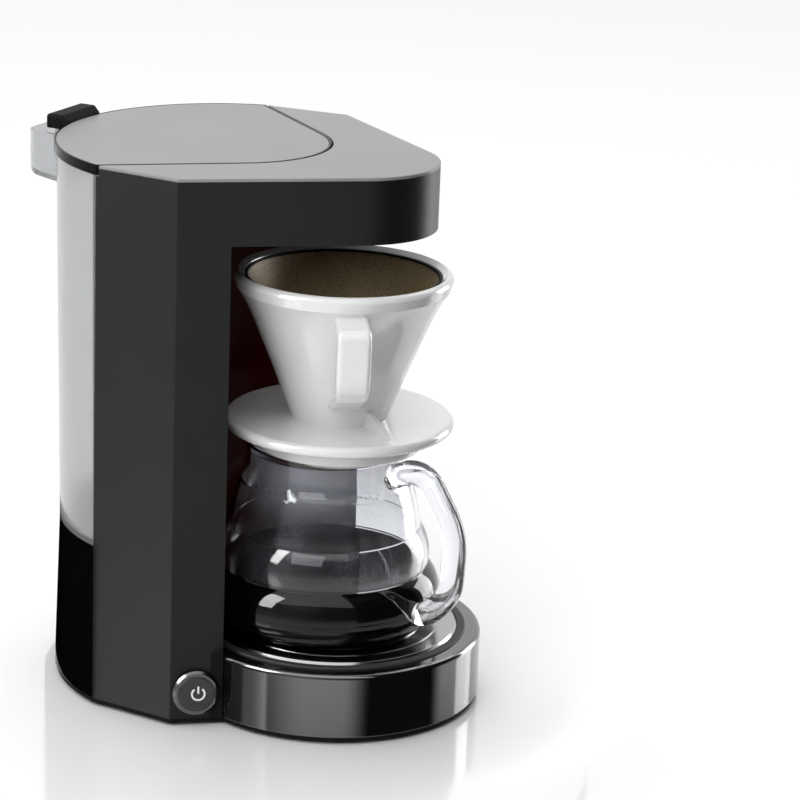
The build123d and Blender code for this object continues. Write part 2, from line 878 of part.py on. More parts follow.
with BuildPart() as valve_socket:
    socket_section = polygon(
        valve_upright,
        [
            (water_tube_bore, barb_end),
            (water_tube_radius, barb_end),
            (water_tube_radius, socket_bottom),
            (socket_radius, socket_bottom),
            (socket_radius, flange_top - socket_flange_sheet),
            (socket_radius + socket_flange, flange_top - socket_flange_sheet),
            (socket_radius + socket_flange, flange_top),
            (socket_radius, flange_top),
            (socket_radius, rear_height - seam),
            (chamber_radius, rear_height - seam),
            (chamber_radius, socket_floor),
            (water_tube_bore, socket_floor),
        ],
    )
    revolve(socket_section, axis=valve_axis)
    with BuildSketch(counter.offset(socket_bottom)):
        with Locations((valve_x, 0)):
            Rectangle(2 * water_tube_bore + socket_wall, spider_width)
    extrude(amount=socket_floor_sheet)
    with BuildSketch(counter.offset(socket_floor - socket_floor_sheet / 2)):
        with Locations((valve_x, 0)):
            Circle(pin_post_radius)
    extrude(amount=post_top - socket_floor + socket_floor_sheet / 2)
valve_socket.part.label = "valve_socket"
export_step(valve_socket.part, "parts/valve_socket.step")

hose_start = brew_x - water_tube_leg + hose_overlap
inlet_points = [
    (hose_start, -water_tube_y, tube_z),
    (brew_x + inlet_x, -water_tube_y, tube_z),
    (brew_x + valve_x, 0, tube_z),
    (brew_x + valve_x, 0, socket_bottom - barb_bare),
]
with BuildLine() as inlet_run:
    FilletPolyline(*inlet_points, radius=hose_bend)
inlet_tube = tube(inlet_run.line, hose_radius, hose_bore)
with BuildPart() as inlet_hose:
    add(inlet_tube)
inlet_hose.part.label = "inlet_hose"
export_step(inlet_hose.part, "parts/inlet_hose.step")

elbow_centre = Vector(brew_x, 0, riser_z)
elbow_way = Vector(riser_x, water_tube_y, 0).normalized()
riser_points = [
    (hose_start, water_tube_y, tube_z),
    (brew_x + riser_x, water_tube_y, tube_z),
    (brew_x + riser_x, water_tube_y, riser_z),
    elbow_centre + elbow_way * (elbow_reach - hose_overlap),
]
with BuildLine() as riser_run:
    FilletPolyline(*riser_points, radius=hose_bend)
riser_tube = tube(riser_run.line, hose_radius, hose_bore)
with BuildPart() as riser_hose:
    add(riser_tube)
riser_hose.part.label = "riser_hose"
export_step(riser_hose.part, "parts/riser_hose.step")

spray_bottom = head_underside - spray_drop
floor_top = head_underside + head_floor_sheet
with BuildPart() as spray_head:
    spray_section = polygon(
        upright,
        [
            (0, spray_bottom),
            (spray_radius - spray_wall, spray_bottom),
            (spray_radius, spray_bottom + spray_wall),
            (spray_radius, floor_top),
            (spray_radius + spray_flange, floor_top),
            (spray_radius + spray_flange, floor_top + spray_wall),
            (spray_inlet + spray_inlet_wall, floor_top + spray_wall),
            (spray_inlet + spray_inlet_wall, floor_top + spray_inlet_rise),
            (spray_inlet, floor_top + spray_inlet_rise),
            (spray_inlet, floor_top),
            (spray_radius - spray_wall, floor_top),
            (spray_radius - spray_wall, spray_bottom + spray_sheet),
            (0, spray_bottom + spray_sheet),
        ],
    )
    revolve(spray_section, axis=brew_axis)
    with BuildSketch(counter.offset(spray_bottom)):
        with PolarLocations(spray_ring, spray_holes):
            Circle(spray_hole)
    extrude(amount=spray_sheet, mode=Mode.SUBTRACT)
spray_head.part.label = "spray_head"
export_step(spray_head.part, "parts/spray_head.step")

elbow_low = floor_top + elbow_seat
with BuildPart() as outlet_elbow:
    with BuildSketch(counter.offset(elbow_low)):
        Circle(spray_inlet - elbow_fit)
    extrude(amount=riser_z + elbow_cap - elbow_low)
    with BuildSketch(Plane(elbow_centre, z_dir=elbow_way)):
        Circle(water_tube_radius)
    extrude(amount=elbow_reach)
    with BuildSketch(Plane(elbow_centre, z_dir=elbow_way)):
        Circle(elbow_bore)
    extrude(amount=elbow_reach, mode=Mode.SUBTRACT)
    with BuildSketch(counter.offset(elbow_low)):
        Circle(elbow_bore)
    extrude(amount=riser_z - elbow_low, mode=Mode.SUBTRACT)
outlet_elbow.part.label = "outlet_elbow"
export_step(outlet_elbow.part, "parts/outlet_elbow.step")

# ---------------------------------------------------------------- push button
barrel_bore = bezel_barrel - bezel_barrel_wall
with BuildPart() as button_bezel:
    bezel_section = polygon(
        button_upright,
        [
            (barrel_bore, bezel_barrel_depth),
            (bezel_barrel, bezel_barrel_depth),
            (bezel_barrel, 0),
            (bezel_radius, 0),
            (bezel_radius, bezel_bevel - bezel_height),
            (bezel_radius - bezel_bevel, -bezel_height),
            (cap_radius + seam, -bezel_height),
            (cap_radius + seam, -bezel_floor),
            (barrel_bore, -bezel_floor),
        ],
    )
    revolve(bezel_section, axis=button_axis)
button_bezel.part.label = "button_bezel"
export_step(button_bezel.part, "parts/button_bezel.step")

cap_top = bezel_height + cap_proud
cap_bottom = cap_top - cap_thickness
with BuildPart() as button_cap:
    with BuildSketch(button_plane.offset(cap_top)):
        Circle(cap_radius)
    extrude(amount=-cap_thickness)
    fillet(button_cap.edges().filter_by(GeomType.CIRCLE).sort_by(button_axis)[-1], cap_edge)
    with BuildSketch(button_plane.offset(cap_bottom)):
        Circle(stem_radius)
    extrude(amount=-(stem_end + cap_bottom))
button_cap.part.label = "button_cap"
export_step(button_cap.part, "parts/button_cap.step")

switch_front = stem_end + cap_travel + switch_gap
plunger_end = switch_front + plunger_depth
with BuildPart() as switch_plunger:
    with BuildSketch(button_plane.offset(-stem_end)):
        Circle(plunger_radius)
    extrude(amount=-(plunger_end - stem_end))
switch_plunger.part.label = "switch_plunger"
export_step(switch_plunger.part, "parts/switch_plunger.step")

with BuildPart() as tact_switch:
    with BuildSketch(button_plane.offset(-switch_front)):
        Rectangle(switch_width, switch_width)
    extrude(amount=-switch_depth)
    with BuildSketch(button_plane.offset(-switch_front)):
        Circle(plunger_radius + plunger_fit)
    extrude(amount=-(plunger_depth + cap_travel + switch_gap), mode=Mode.SUBTRACT)
tact_switch.part.label = "tact_switch"
export_step(tact_switch.part, "parts/tact_switch.step")

with BuildPart() as control_board:
    with BuildSketch(button_plane.offset(-switch_front - switch_depth)):
        with Locations((-board_shift, 0)):
            Rectangle(board_width, board_height)
    extrude(amount=-board_thickness)
control_board.part.label = "control_board"
export_step(control_board.part, "parts/control_board.step")

# ---------------------------------------------------------------- water tank
tank_front_x = tank_face_x - tank_gap
spout_end = tank_bottom - spout_drop
spout_bore = spout_radius - spout_wall


def grip_block(inset):
    """The scoop-shaped grip, or its hollow when it is drawn smaller by its wall."""
    root_x = rear_x + grip_root
    rear = grip_rear_x + inset
    with BuildPart() as block:
        with BuildSketch(counter.offset(grip_bottom)) as grip_plan:
            with BuildLine():
                Polyline(
                    (root_x, grip_half - inset),
                    (rear, grip_rear_half - inset),
                    (rear, inset - grip_rear_half),
                    (root_x, inset - grip_half),
                    close=True,
                )
            make_face()
            fillet(grip_plan.vertices().group_by(Axis.X)[0], grip_corner - inset)
        extrude(amount=grip_height + (grip_open if inset else 0))
        with BuildSketch(upright) as grip_side:
            with BuildLine():
                Polyline(
                    (root_x + overcut, grip_top + 2 * grip_open),
                    (rear, grip_top + 2 * grip_open),
                    (rear, grip_bottom + grip_slope + inset),
                    (root_x + overcut, grip_bottom + inset),
                    close=True,
                )
            make_face()
            toe = grip_side.vertices().group_by(Axis.X)[0].sort_by(Axis.Y)[0]
            fillet(toe, grip_toe - inset)
        extrude(amount=grip_half + overcut, both=True, mode=Mode.INTERSECT)
    return block.part


grip_solid = grip_block(0.0)
grip_hollow = grip_block(grip_wall)

with BuildPart() as tank_body:
    with BuildSketch(counter.offset(tank_bottom)):
        add(rear_plan(tank_front_x, rear_flare))
    with BuildSketch(counter.offset(tank_top)):
        add(rear_plan(tank_front_x))
    loft()

with BuildPart() as grip_pocket:
    add(grip_hollow)
    add(tank_body.part, mode=Mode.SUBTRACT)

with BuildPart() as water_tank:
    add(tank_body.part)
    add(grip_solid)
    add(grip_pocket.part, mode=Mode.SUBTRACT)
    for side in (-1, 1):
        with BuildSketch(upright.offset(side * ear_y - ear_thickness / 2)):
            with Locations((hinge_x, hinge_z)):
                Circle(ear_radius)
            with Locations((hinge_x, ear_low)):
                Rectangle(2 * ear_radius, hinge_z - ear_low, align=(Align.CENTER, Align.MIN))
                Rectangle(ear_root, tank_top - ear_low, align=(Align.MIN, Align.MIN))
        extrude(amount=ear_thickness)
    with BuildSketch(counter.offset(tank_bottom + tank_floor)):
        add(rear_plan(tank_front_x, rear_flare, tank_wall))
    with BuildSketch(counter.offset(tank_top)):
        add(rear_plan(tank_front_x, 0.0, tank_wall))
    loft(mode=Mode.SUBTRACT)
    with BuildSketch(counter.offset(tank_top)):
        add(lid_plan(seam))
    extrude(amount=lid_depth, mode=Mode.SUBTRACT)
    with BuildSketch(counter.offset(spout_end)):
        with Locations((valve_x, 0)):
            Circle(spout_radius)
    extrude(amount=spout_drop + overcut)
    with BuildSketch(counter.offset(spout_end)):
        with Locations((valve_x, 0)):
            Circle(spout_bore)
    extrude(amount=spout_drop + tank_floor + overcut, mode=Mode.SUBTRACT)
    with BuildSketch(upright.offset(-ear_y - ear_thickness)):
        with Locations((hinge_x, hinge_z)):
            Circle(pin_radius)
    extrude(amount=2 * (ear_y + ear_thickness), mode=Mode.SUBTRACT)
water_tank.part.label = "water_tank"
export_step(water_tank.part, "parts/water_tank.step")

with BuildPart() as spout_seal:
    with BuildSketch(counter.offset(spout_end + seal_rise)):
        with Locations((valve_x, 0)):
            Circle(spout_radius + seal_width)
            Circle(spout_radius, mode=Mode.SUBTRACT)
    extrude(amount=seal_height)
spout_seal.part.label = "spout_seal"
export_step(spout_seal.part, "parts/spout_seal.step")

cage_radius = spout_bore - cage_fit
cage_bore = cage_radius - cage_wall
seat_top = spout_end + seat_height
cage_top = spout_end + cage_height
window_z = tank_bottom + tank_floor + window_floor + cage_window / 2
with BuildPart() as valve_cage:
    with BuildSketch(counter.offset(spout_end)):
        with Locations((valve_x, 0)):
            Circle(cage_radius)
    extrude(amount=cage_height)
    with BuildSketch(counter.offset(seat_top)):
        with Locations((valve_x, 0)):
            Circle(cage_bore)
    extrude(amount=cage_top - cage_bar - seat_top, mode=Mode.SUBTRACT)
    with BuildSketch(counter.offset(spout_end)):
        with Locations((valve_x, 0)):
            Circle(seat_radius)
    extrude(amount=seat_height, mode=Mode.SUBTRACT)
    with BuildSketch(counter.offset(cage_top - cage_bar)):
        with Locations((valve_x, 0)):
            Circle(stem_hole)
            with PolarLocations(cage_bore - cage_vent_inset, cage_vents):
                Circle(cage_bar)
    extrude(amount=cage_bar, mode=Mode.SUBTRACT)
    for turn in (radians(cage_window_turn), radians(180 - cage_window_turn)):
        flow = Plane(
            (brew_x + valve_x, 0, window_z),
            x_dir=(-sin(turn), cos(turn), 0),
            z_dir=(cos(turn), sin(turn), 0),
        )
        with BuildSketch(flow):
            Rectangle(2 * cage_window, cage_window)
        extrude(amount=cage_radius + overcut, both=True, mode=Mode.SUBTRACT)
valve_cage.part.label = "valve_cage"
export_step(valve_cage.part, "parts/valve_cage.step")

poppet_foot = post_top + poppet_gap
poppet_low = seat_top + poppet_lift
poppet_high = poppet_low + poppet_sheet
with BuildPart() as valve_poppet:
    poppet_section = polygon(
        valve_upright,
        [
            (0, poppet_foot),
            (poppet_stem, poppet_foot),
            (poppet_stem, poppet_low),
            (poppet_radius, poppet_low),
            (poppet_radius, poppet_high),
            (poppet_stem, poppet_high),
            (poppet_stem, cage_top + poppet_tail),
            (0, cage_top + poppet_tail),
        ],
    )
    revolve(poppet_section, axis=valve_axis)
valve_poppet.part.label = "valve_poppet"
export_step(valve_poppet.part, "parts/valve_poppet.step")

spring_low = poppet_high + spring_wire + spring_gap
spring_high = cage_top - cage_bar - spring_wire - spring_gap
with BuildPart() as valve_spring:
    with BuildLine() as coil:
        Helix(
            (spring_high - spring_low) / spring_turns,
            spring_high - spring_low,
            spring_radius,
            center=(brew_x + valve_x, 0, spring_low),
        )
    with BuildSketch(Plane(coil.line @ 0, z_dir=coil.line % 0)):
        Circle(spring_wire)
    sweep(path=coil.line, is_frenet=True)
valve_spring.part.label = "valve_spring"
export_step(valve_spring.part, "parts/valve_spring.step")

# ---------------------------------------------------------------- lid
with BuildPart() as lid_frame:
    with BuildSketch(counter.offset(lid_bottom)):
        add(lid_plan())
    extrude(amount=lid_depth)
    with BuildSketch(counter.offset(shell_top)):
        add(lid_plan(-lid_rim))
    extrude(amount=skin, mode=Mode.SUBTRACT)
    with BuildSketch(counter.offset(lid_bottom)):
        add(lid_plan(-wall))
    extrude(amount=shell_top - lid_bottom, mode=Mode.SUBTRACT)
    with BuildSketch(counter.offset(shell_top - lid_rib_height)):
        with Locations((lid_rib_x, 0)):
            with GridLocations(lid_rib_pitch, 0, lid_rib_count, 1):
                Rectangle(lid_rib, 2 * tank_half)
        Rectangle(2 * abs(rear_x), lid_rib)
        add(lid_plan(lid_rib_root - wall), mode=Mode.INTERSECT)
    extrude(amount=lid_rib_height)
lid_frame.part.label = "lid_frame"
export_step(lid_frame.part, "parts/lid_frame.step")

with BuildPart() as lid_panel:
    with BuildSketch(counter.offset(shell_top)):
        add(lid_plan(-lid_rim - slip))
    extrude(amount=skin)
    fillet(lid_panel.faces().sort_by(Axis.Z)[-1].edges(), lid_edge)
lid_panel.part.label = "lid_panel"
export_step(lid_panel.part, "parts/lid_panel.step")

tab_bottom = grip_top + tab_clear
slot_reach = ear_radius + swing_gap
slot_width = ear_thickness + 2 * ear_gap
slot_top = hinge_z + slot_reach
with BuildPart() as lid_tab:
    with BuildSketch(upright.offset(-tab_half)) as tab_side:
        with BuildLine():
            Polyline(
                (tab_front_x, tab_bottom),
                (tab_front_x, height + tab_step),
                (tab_front_x - tab_slope, tab_top),
                (tab_rear_x, tab_top),
                (tab_rear_x, tab_bottom),
                close=True,
            )
        make_face()
        fillet(tab_side.vertices().group_by(Axis.Y)[-1], tab_round)
    extrude(amount=2 * tab_half)
    near_end = lid_tab.faces().sort_by(Axis.Z)[-1].edges().filter_by(GeomType.LINE).sort_by(Axis.Y)[0]
    fillet(near_end, tab_end)
    far_end = lid_tab.faces().sort_by(Axis.Z)[-1].edges().filter_by(GeomType.LINE).sort_by(Axis.Y)[-1]
    fillet(far_end, tab_end)
    with BuildSketch(counter.offset(tab_bottom)):
        add(lid_plan(seam))
    extrude(amount=height - tab_bottom, mode=Mode.SUBTRACT)
    for side in (-1, 1):
        with BuildSketch(upright.offset(side * ear_y - slot_width / 2)):
            with Locations((hinge_x, hinge_z)):
                Circle(slot_reach)
            with Locations((tab_rear_x, tab_bottom)):
                Rectangle(tab_rear_reach, slot_top - tab_bottom, align=(Align.MIN, Align.MIN))
            with Locations((hinge_x, tab_bottom)):
                Rectangle(slot_reach, hinge_z - tab_bottom, align=(Align.MIN, Align.MIN))
        extrude(amount=slot_width, mode=Mode.SUBTRACT)
    with BuildSketch(upright.offset(-pin_length / 2 - slip)):
        with Locations((hinge_x, hinge_z)):
            Circle(pin_radius + pin_fit)
    extrude(amount=pin_length + 2 * slip, mode=Mode.SUBTRACT)
lid_tab.part.label = "lid_tab"
export_step(lid_tab.part, "parts/lid_tab.step")

with BuildPart() as hinge_pin:
    with BuildSketch(upright.offset(-pin_length / 2)):
        with Locations((hinge_x, hinge_z)):
            Circle(pin_radius)
    extrude(amount=pin_length)
hinge_pin.part.label = "hinge_pin"
export_step(hinge_pin.part, "parts/hinge_pin.step")

# ---------------------------------------------------------------- glass server
def server_section(inset):
    """Half section of the server: flat foot, three stacked bulges, shoulder and mouth."""

    def at(radius, rise):
        return (radius - inset, server_base + rise)

    with BuildSketch(server_upright) as section:
        with BuildLine():
            Line((0, server_base + inset), (server_foot, server_base + inset))
            ThreePointArc(
                (server_foot, server_base + inset),
                at(foot_turn, foot_turn_rise + inset / 2),
                at(first_bulge, first_bulge_rise),
            )
            TangentArc(
                at(first_bulge, first_bulge_rise),
                at(first_crease, first_crease_rise),
                tangent=(0, 1),
            )
            ThreePointArc(
                at(first_crease, first_crease_rise),
                at(second_bulge, second_bulge_rise),
                at(second_crease, second_crease_rise),
            )
            ThreePointArc(
                at(second_crease, second_crease_rise),
                at(third_bulge, third_bulge_rise),
                at(shoulder, shoulder_rise),
            )
            TangentArc(
                at(server_mouth, neck_rise),
                at(shoulder, shoulder_rise),
                tangent=(0, -1),
            )
            Line(at(server_mouth, neck_rise), at(server_mouth, server_height))
            Line(at(server_mouth, server_height), (0, server_top))
            Line((0, server_top), (0, server_base + inset))
        make_face()
    return section.sketch


server_outside = server_section(0.0)
server_inside = server_section(glass)

with BuildPart() as server_form:
    revolve(server_outside, axis=server_axis)

with BuildPart() as server_glass:
    revolve(server_outside, axis=server_axis)
    revolve(server_inside, axis=server_axis, mode=Mode.SUBTRACT)
    fillet(server_glass.edges().filter_by(GeomType.CIRCLE).group_by(Axis.Z)[-1], server_lip)
server_glass.part.label = "server_glass"
export_step(server_glass.part, "parts/server_glass.step")

with BuildPart() as server_handle:
    with BuildLine(turned(server_x, handle_angle)) as handle_run:
        FilletPolyline(
            (server_mouth - handle_root, server_base + handle_root_rise),
            (server_mouth + handle_crown, server_base + handle_crown_rise),
            (handle_reach + handle_upper_out, server_base + handle_upper_rise),
            (handle_reach - handle_lower_in, server_base + handle_lower_rise),
            (first_bulge + handle_foot, server_base + handle_foot_rise),
            (first_bulge - handle_end, server_base + handle_end_rise),
            radius=handle_bends,
        )
    with BuildSketch(Plane(handle_run.line @ 0, z_dir=handle_run.line % 0)):
        Circle(handle_radius)
    sweep(path=handle_run.line)
    add(server_form.part, mode=Mode.SUBTRACT)
server_handle.part.label = "server_handle"
export_step(server_handle.part, "parts/server_handle.step")

# ---------------------------------------------------------------- dripper
dripper_mouth = dripper_rim - dripper_edge
saucer_round = saucer_thickness / 2
saucer_top = saucer_base + saucer_thickness
rim_z = saucer_base + dripper_height
lip_z = rim_z - lip_fall
lip_side = dripper_lip / 3  # point on the round between the rim's side and its top
cup_floor = saucer_top + cup_floor_sheet
cup_well_top = cup_floor + cup_well


def dripper_section(solid):
    """Half section of the dripper, filled for the envelope or hollow for the piece."""
    with BuildSketch(upright) as section:
        with BuildLine():
            Line(
                (0 if solid else dripper_hole, saucer_base),
                (saucer_radius - saucer_round, saucer_base),
            )
            ThreePointArc(
                (saucer_radius - saucer_round, saucer_base),
                (saucer_radius, saucer_base + saucer_round),
                (saucer_radius - saucer_round, saucer_top),
            )
            Line((saucer_radius - saucer_round, saucer_top), (cone_foot, saucer_top))
            Spline(
                (cone_foot, saucer_top),
                (cone_waist, saucer_top + cone_waist_rise),
                (cone_shoulder, rim_z - cone_shoulder_drop),
                (cone_flare, rim_z - cone_flare_drop),
                (dripper_rim - rim_inset, rim_z - rim_band),
            )
            Line((dripper_rim - rim_inset, rim_z - rim_band), (dripper_rim, rim_z - dripper_lip))
            ThreePointArc(
                (dripper_rim, rim_z - dripper_lip),
                (dripper_rim - lip_side, rim_z - lip_side),
                (dripper_rim - dripper_lip, rim_z),
            )
            if solid:
                Line((dripper_rim - dripper_lip, rim_z), (0, rim_z))
                Line((0, rim_z), (0, saucer_base))
            else:
                Line((dripper_rim - dripper_lip, rim_z), (dripper_mouth, lip_z))
                Line((dripper_mouth, lip_z), (cone_base, cup_well_top))
                Line((cone_base, cup_well_top), (dripper_hole, cup_floor))
                Line((dripper_hole, cup_floor), (dripper_hole, saucer_base))
        make_face()
    return section.sketch


dripper_outline = dripper_section(True)
dripper_walls = dripper_section(False)

with BuildPart() as dripper_form:
    revolve(dripper_outline, axis=brew_axis)

with BuildPart() as dripper:
    revolve(dripper_walls, axis=brew_axis)
    with BuildSketch(counter.offset(foot_base)):
        Circle(server_mouth + foot_ring_over)
        Circle(collar_radius + foot_groove, mode=Mode.SUBTRACT)
    extrude(amount=foot_rise)
    foot_edges = dripper.edges().filter_by(GeomType.CIRCLE).group_by(Axis.Z)[0]
    fillet(foot_edges.sort_by(SortBy.RADIUS)[-1], foot_ring_edge)
    with BuildSketch(counter.offset(foot_base - collar_depth)):
        Circle(collar_radius)
        Circle(collar_radius - ceramic, mode=Mode.SUBTRACT)
    extrude(amount=foot_rise + collar_depth)
    with BuildSketch(turned(0, rib_angle)):
        with BuildLine():
            Polyline(
                (cone_foot - overcut, saucer_top - overcut),
                (rib_reach, saucer_top - overcut),
                (rib_top, saucer_top + rib_height),
                close=True,
            )
        make_face()
    extrude(amount=rib_thickness / 2, both=True)
dripper.part.label = "dripper"
export_step(dripper.part, "parts/dripper.step")

strap_plane = turned(0, strap_angle)
with BuildPart() as dripper_handle:
    with BuildLine(strap_plane) as strap_run:
        FilletPolyline(
            (strap_root, rim_z - strap_root_drop),
            (strap_reach, rim_z - strap_crown_drop),
            (strap_reach - strap_taper, saucer_top + strap_elbow_rise),
            (strap_foot, saucer_top + strap_foot_rise),
            radius=strap_bends,
        )
    start = Plane(strap_run.line @ 0, x_dir=strap_plane.z_dir, z_dir=strap_run.line % 0)
    with BuildSketch(start):
        RectangleRounded(strap_width, strap_thickness, strap_edge)
    sweep(path=strap_run.line)
    add(dripper_form.part, mode=Mode.SUBTRACT)
dripper_handle.part.label = "dripper_handle"
export_step(dripper_handle.part, "parts/dripper_handle.step")

cone_rise = lip_z - cup_well_top
cone_spread = dripper_mouth - cone_base
cone_length = sqrt(cone_rise**2 + cone_spread**2)
side_gap = filter_clearance * cone_length / cone_rise
side_sheet = filter_sheet * cone_length / cone_rise


def filter_radius(z):
    """Outside radius of the filter at a height, a clearance inside the dripper's cone."""
    return dripper_mouth - cone_spread * (lip_z - z) / cone_rise - side_gap


filter_low = cup_floor + filter_rise
filter_floor = filter_low + filter_sheet
filter_top = lip_z - filter_drop
mesh_top = filter_top - filter_rim_height
with BuildPart() as filter_cone:
    filter_section = polygon(
        upright,
        [
            (0, filter_low),
            (filter_radius(filter_low), filter_low),
            (filter_radius(mesh_top), mesh_top),
            (filter_radius(mesh_top) - side_sheet, mesh_top),
            (filter_radius(filter_floor) - side_sheet, filter_floor),
            (0, filter_floor),
        ],
    )
    revolve(filter_section, axis=brew_axis)
filter_cone.part.label = "filter_cone"
export_step(filter_cone.part, "parts/filter_cone.step")

with BuildPart() as filter_rim:
    rim_section = polygon(
        upright,
        [
            (filter_radius(mesh_top), mesh_top),
            (filter_radius(filter_top), filter_top),
            (filter_radius(filter_top) - filter_rim_width, filter_top),
            (filter_radius(mesh_top) - filter_rim_width, mesh_top),
        ],
    )
    revolve(rim_section, axis=brew_axis)
filter_rim.part.label = "filter_rim"
export_step(filter_rim.part, "parts/filter_rim.step")
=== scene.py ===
# %% [markdown]
# # An automatic tea maker in a small studio
# The machine is a clear water tank behind a charcoal column, a head that leans over a
# round hot plate, and on the plate a glass server with a ceramic dripper. Its solids
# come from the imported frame, each one as a named object that already sits in place.
# This script gives them their finishes, adds the drink, the steam and the small marks,
# and lights them.

import json
from math import cos, pi, radians, sin

import bmesh
import bpy
from mathutils import Matrix, Vector


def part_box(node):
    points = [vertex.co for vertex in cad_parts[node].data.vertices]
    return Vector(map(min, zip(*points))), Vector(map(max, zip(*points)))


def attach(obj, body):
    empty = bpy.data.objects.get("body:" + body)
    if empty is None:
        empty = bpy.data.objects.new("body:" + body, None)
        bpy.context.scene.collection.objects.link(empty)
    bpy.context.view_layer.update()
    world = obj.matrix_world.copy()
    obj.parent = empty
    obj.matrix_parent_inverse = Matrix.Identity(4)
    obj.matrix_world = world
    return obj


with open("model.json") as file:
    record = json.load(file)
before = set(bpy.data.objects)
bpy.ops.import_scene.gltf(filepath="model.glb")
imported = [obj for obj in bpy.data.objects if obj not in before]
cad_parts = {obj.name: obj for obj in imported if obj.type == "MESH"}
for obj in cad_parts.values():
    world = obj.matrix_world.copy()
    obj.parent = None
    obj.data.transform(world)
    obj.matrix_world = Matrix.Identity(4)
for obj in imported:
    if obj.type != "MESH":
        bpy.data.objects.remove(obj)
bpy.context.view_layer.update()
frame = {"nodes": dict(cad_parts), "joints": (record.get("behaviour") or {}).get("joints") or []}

# %% [markdown]
# Places are read from the frame, so that nothing here has to repeat a size of the
# machine. The brew axis is the upright line through the middle of the hot plate, and
# the button's own joint says which way the button faces.

# %% Read the places this script needs
mm = 0.001


def middle(node):
    """Middle of a node's box."""
    low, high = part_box(node)
    return (low + high) / 2


brew = middle("hot_plate").x
server_middle = middle("server_glass").x
plate_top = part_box("hot_plate")[1].z
joints = {joint["name"]: joint for joint in frame["joints"]}
button_out = -Vector(joints["button_press"]["axis"]).normalized()
print("brew axis at", round(brew / mm, 1), "mm, server at", round(server_middle / mm, 1), "mm")

# %% [markdown]
# ## Camera
# A long lens from a little over the counter keeps upright edges nearly parallel, as in
# catalogue pictures. Working from a turn, a height angle and a distance is easier to
# reason about than from raw coordinates; the small roll and shift settle the framing.

# %% Camera
camera_turn = radians(25.87)  # about the machine, from its button side
camera_height = radians(17.92)
camera_roll = radians(2.07)
camera_distance = 1.610
look_at = Vector((brew + 20.3 * mm, 0, 145 * mm))

back = Vector(
    (
        sin(camera_turn) * cos(camera_height),
        -cos(camera_turn) * cos(camera_height),
        sin(camera_height),
    )
)
level = Vector((cos(camera_turn), sin(camera_turn), 0))
upward = back.cross(level)
across = level * cos(camera_roll) + upward * sin(camera_roll)
upward = back.cross(across)

camera_data = bpy.data.cameras.new("camera")
camera_data.lens = 139.45
camera_data.sensor_width = 36
camera_data.shift_x = 0.0333
camera_data.shift_y = 0.0440
camera_data.clip_end = 100
camera = bpy.data.objects.new("camera", camera_data)
turn = Matrix((across, upward, back)).transposed().to_4x4()
camera.matrix_world = Matrix.Translation(look_at + back * camera_distance) @ turn
bpy.context.scene.collection.objects.link(camera)
bpy.context.scene.camera = camera
bpy.context.scene.view_settings.view_transform = "Standard"
print("camera at", [round(v, 3) for v in camera.matrix_world.translation])

# %% [markdown]
# ## A small language for finishes
# A finish is a tree of nodes, and its maths reads best as maths. `Wire` holds one
# output of a node and answers to the usual operators, each of which adds a Math node.
# `Finish` holds the tree: `node` adds any other node, and `surface` fills in the
# Principled shader that every finish here ends in.


# %% Shader maths with operators
class Wire:
    """A node's output that can be used in Python arithmetic."""

    def __init__(self, finish, socket):
        self.finish = finish
        self.socket = socket

    def math(self, operation, first, second=None):
        values = {0: first} if second is None else {0: first, 1: second}
        return self.finish.node("ShaderNodeMath", {"operation": operation}, values)

    def __add__(self, other):
        return self.math("ADD", self, other)

    __radd__ = __add__

    def __sub__(self, other):
        return self.math("SUBTRACT", self, other)

    def __rsub__(self, other):
        return self.math("SUBTRACT", other, self)

    def __mul__(self, other):
        return self.math("MULTIPLY", self, other)

    __rmul__ = __mul__

    def smooth(self, low, high):
        """0 below low, 1 above high, and an even slope between them."""
        settings = {"interpolation_type": "SMOOTHSTEP"}
        return self.finish.node("ShaderNodeMapRange", settings, {0: self, 1: low, 2: high})


